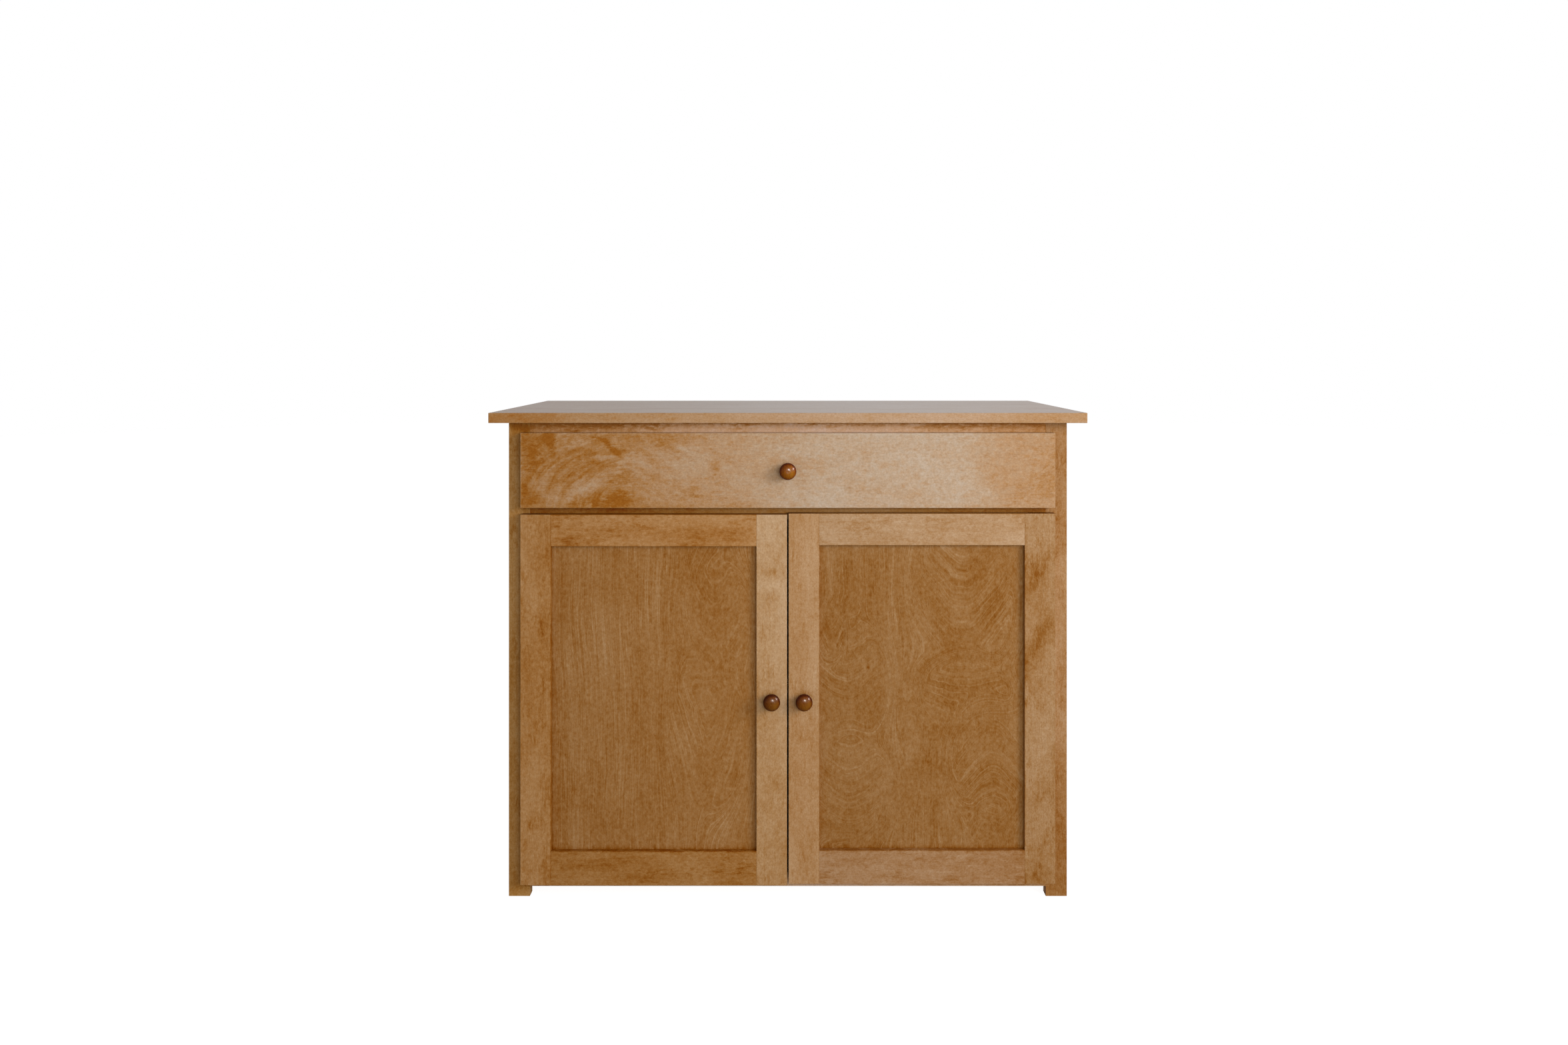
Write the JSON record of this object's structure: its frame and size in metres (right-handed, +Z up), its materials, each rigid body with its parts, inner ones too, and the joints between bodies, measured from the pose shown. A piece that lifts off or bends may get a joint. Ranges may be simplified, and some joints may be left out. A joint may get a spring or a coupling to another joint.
{
  "type": "dry sink cabinet",
  "caption": "Low birch cabinet with an overhanging slab top, a wide drawer and a pair of framed doors over a cupboard with an adjustable shelf.",
  "frame": {"origin": "on the floor, under the middle of the overall width and depth, knobs included", "axes": "+X to the right of someone facing the doors, +Y towards the back, +Z up"},
  "size_m": [1.1176, 0.506, 0.9144],
  "materials": {
    "birch_case": "honey-stained birch under satin lacquer, vertical grain",
    "birch_rail": "honey-stained birch under satin lacquer, grain along the rail",
    "birch_top": "honey-stained birch slab under satin lacquer",
    "birch_drawer_front": "honey-stained birch under satin lacquer, blotchy stain",
    "birch_door": "honey-stained birch under satin lacquer",
    "birch_door_panel": "rotary-cut birch veneer, darker stain, satin lacquer",
    "birch_plywood": "clear-coated birch plywood",
    "thin_plywood": "thin birch plywood, unfinished",
    "turned_knob": "turned birch, dark red-brown stain, gloss lacquer",
    "zinc_steel": "zinc-plated steel",
    "nickel_steel": "nickel-plated steel"
  },
  "bodies": {
    "case": {"left_frame_stile": "birch_case", "right_frame_stile": "birch_case", "left_side_panel": "birch_case", "right_side_panel": "birch_case", "top_frame_rail": "birch_rail", "middle_frame_rail": "birch_rail", "bottom_frame_rail": "birch_rail", "top_panel": "birch_top", "cupboard_floor": "birch_plywood", "front_top_stretcher": "birch_plywood", "rear_nailer": "birch_plywood", "left_slide_spacer": "birch_plywood", "right_slide_spacer": "birch_plywood", "shelf": "birch_plywood", "back_panel": "thin_plywood", "left_slide_cabinet_member": "zinc_steel", "right_slide_cabinet_member": "zinc_steel", "left_upper_hinge_base": "zinc_steel", "left_lower_hinge_base": "zinc_steel", "right_upper_hinge_base": "zinc_steel", "right_lower_hinge_base": "zinc_steel", "left_upper_hinge_arm": "nickel_steel", "left_lower_hinge_arm": "nickel_steel", "right_upper_hinge_arm": "nickel_steel", "right_lower_hinge_arm": "nickel_steel", "left_front_shelf_pin": "nickel_steel", "left_rear_shelf_pin": "nickel_steel", "right_front_shelf_pin": "nickel_steel", "right_rear_shelf_pin": "nickel_steel"},
    "drawer": {"drawer_front": "birch_drawer_front", "drawer_box_front": "birch_plywood", "drawer_box_back": "birch_plywood", "drawer_left_side": "birch_plywood", "drawer_right_side": "birch_plywood", "drawer_bottom": "thin_plywood", "drawer_knob": "turned_knob", "drawer_knob_screw": "zinc_steel", "left_slide_drawer_member": "zinc_steel", "right_slide_drawer_member": "zinc_steel"},
    "left_slide_middle": {"left_slide_middle_member": "zinc_steel"},
    "right_slide_middle": {"right_slide_middle_member": "zinc_steel"},
    "left_door": {"left_door_hinge_stile": "birch_door", "left_door_lock_stile": "birch_door", "left_door_top_rail": "birch_door", "left_door_bottom_rail": "birch_door", "left_door_panel": "birch_door_panel", "left_door_knob": "turned_knob", "left_door_knob_screw": "zinc_steel", "left_upper_hinge_cup": "nickel_steel", "left_lower_hinge_cup": "nickel_steel"},
    "right_door": {"right_door_hinge_stile": "birch_door", "right_door_lock_stile": "birch_door", "right_door_top_rail": "birch_door", "right_door_bottom_rail": "birch_door", "right_door_panel": "birch_door_panel", "right_door_knob": "turned_knob", "right_door_knob_screw": "zinc_steel", "right_upper_hinge_cup": "nickel_steel", "right_lower_hinge_cup": "nickel_steel"}
  },
  "joints": [
    {"name": "drawer_slide", "type": "slide", "parent": "case", "child": "drawer", "axis": [0, -1, 0], "range_m": [0, 0.4]},
    {"name": "left_slide_middle_travel", "type": "slide", "parent": "case", "child": "left_slide_middle", "axis": [0, -1, 0], "range_m": [0, 0.2]},
    {"name": "right_slide_middle_travel", "type": "slide", "parent": "case", "child": "right_slide_middle", "axis": [0, -1, 0], "range_m": [0, 0.2]},
    {"name": "left_door_hinge", "type": "hinge", "parent": "case", "child": "left_door", "pos_m": [-0.49227, -0.218, 0.37785], "axis": [0, 0, -1], "range_deg": [0, 105]},
    {"name": "right_door_hinge", "type": "hinge", "parent": "case", "child": "right_door", "pos_m": [0.49227, -0.218, 0.37985], "axis": [0, 0, 1], "range_deg": [0, 105]}
  ],
  "couplings": [
    {"joint": "left_slide_middle_travel", "follows": "drawer_slide", "ratio": 0.5},
    {"joint": "right_slide_middle_travel", "follows": "drawer_slide", "ratio": 0.5}
  ]
}
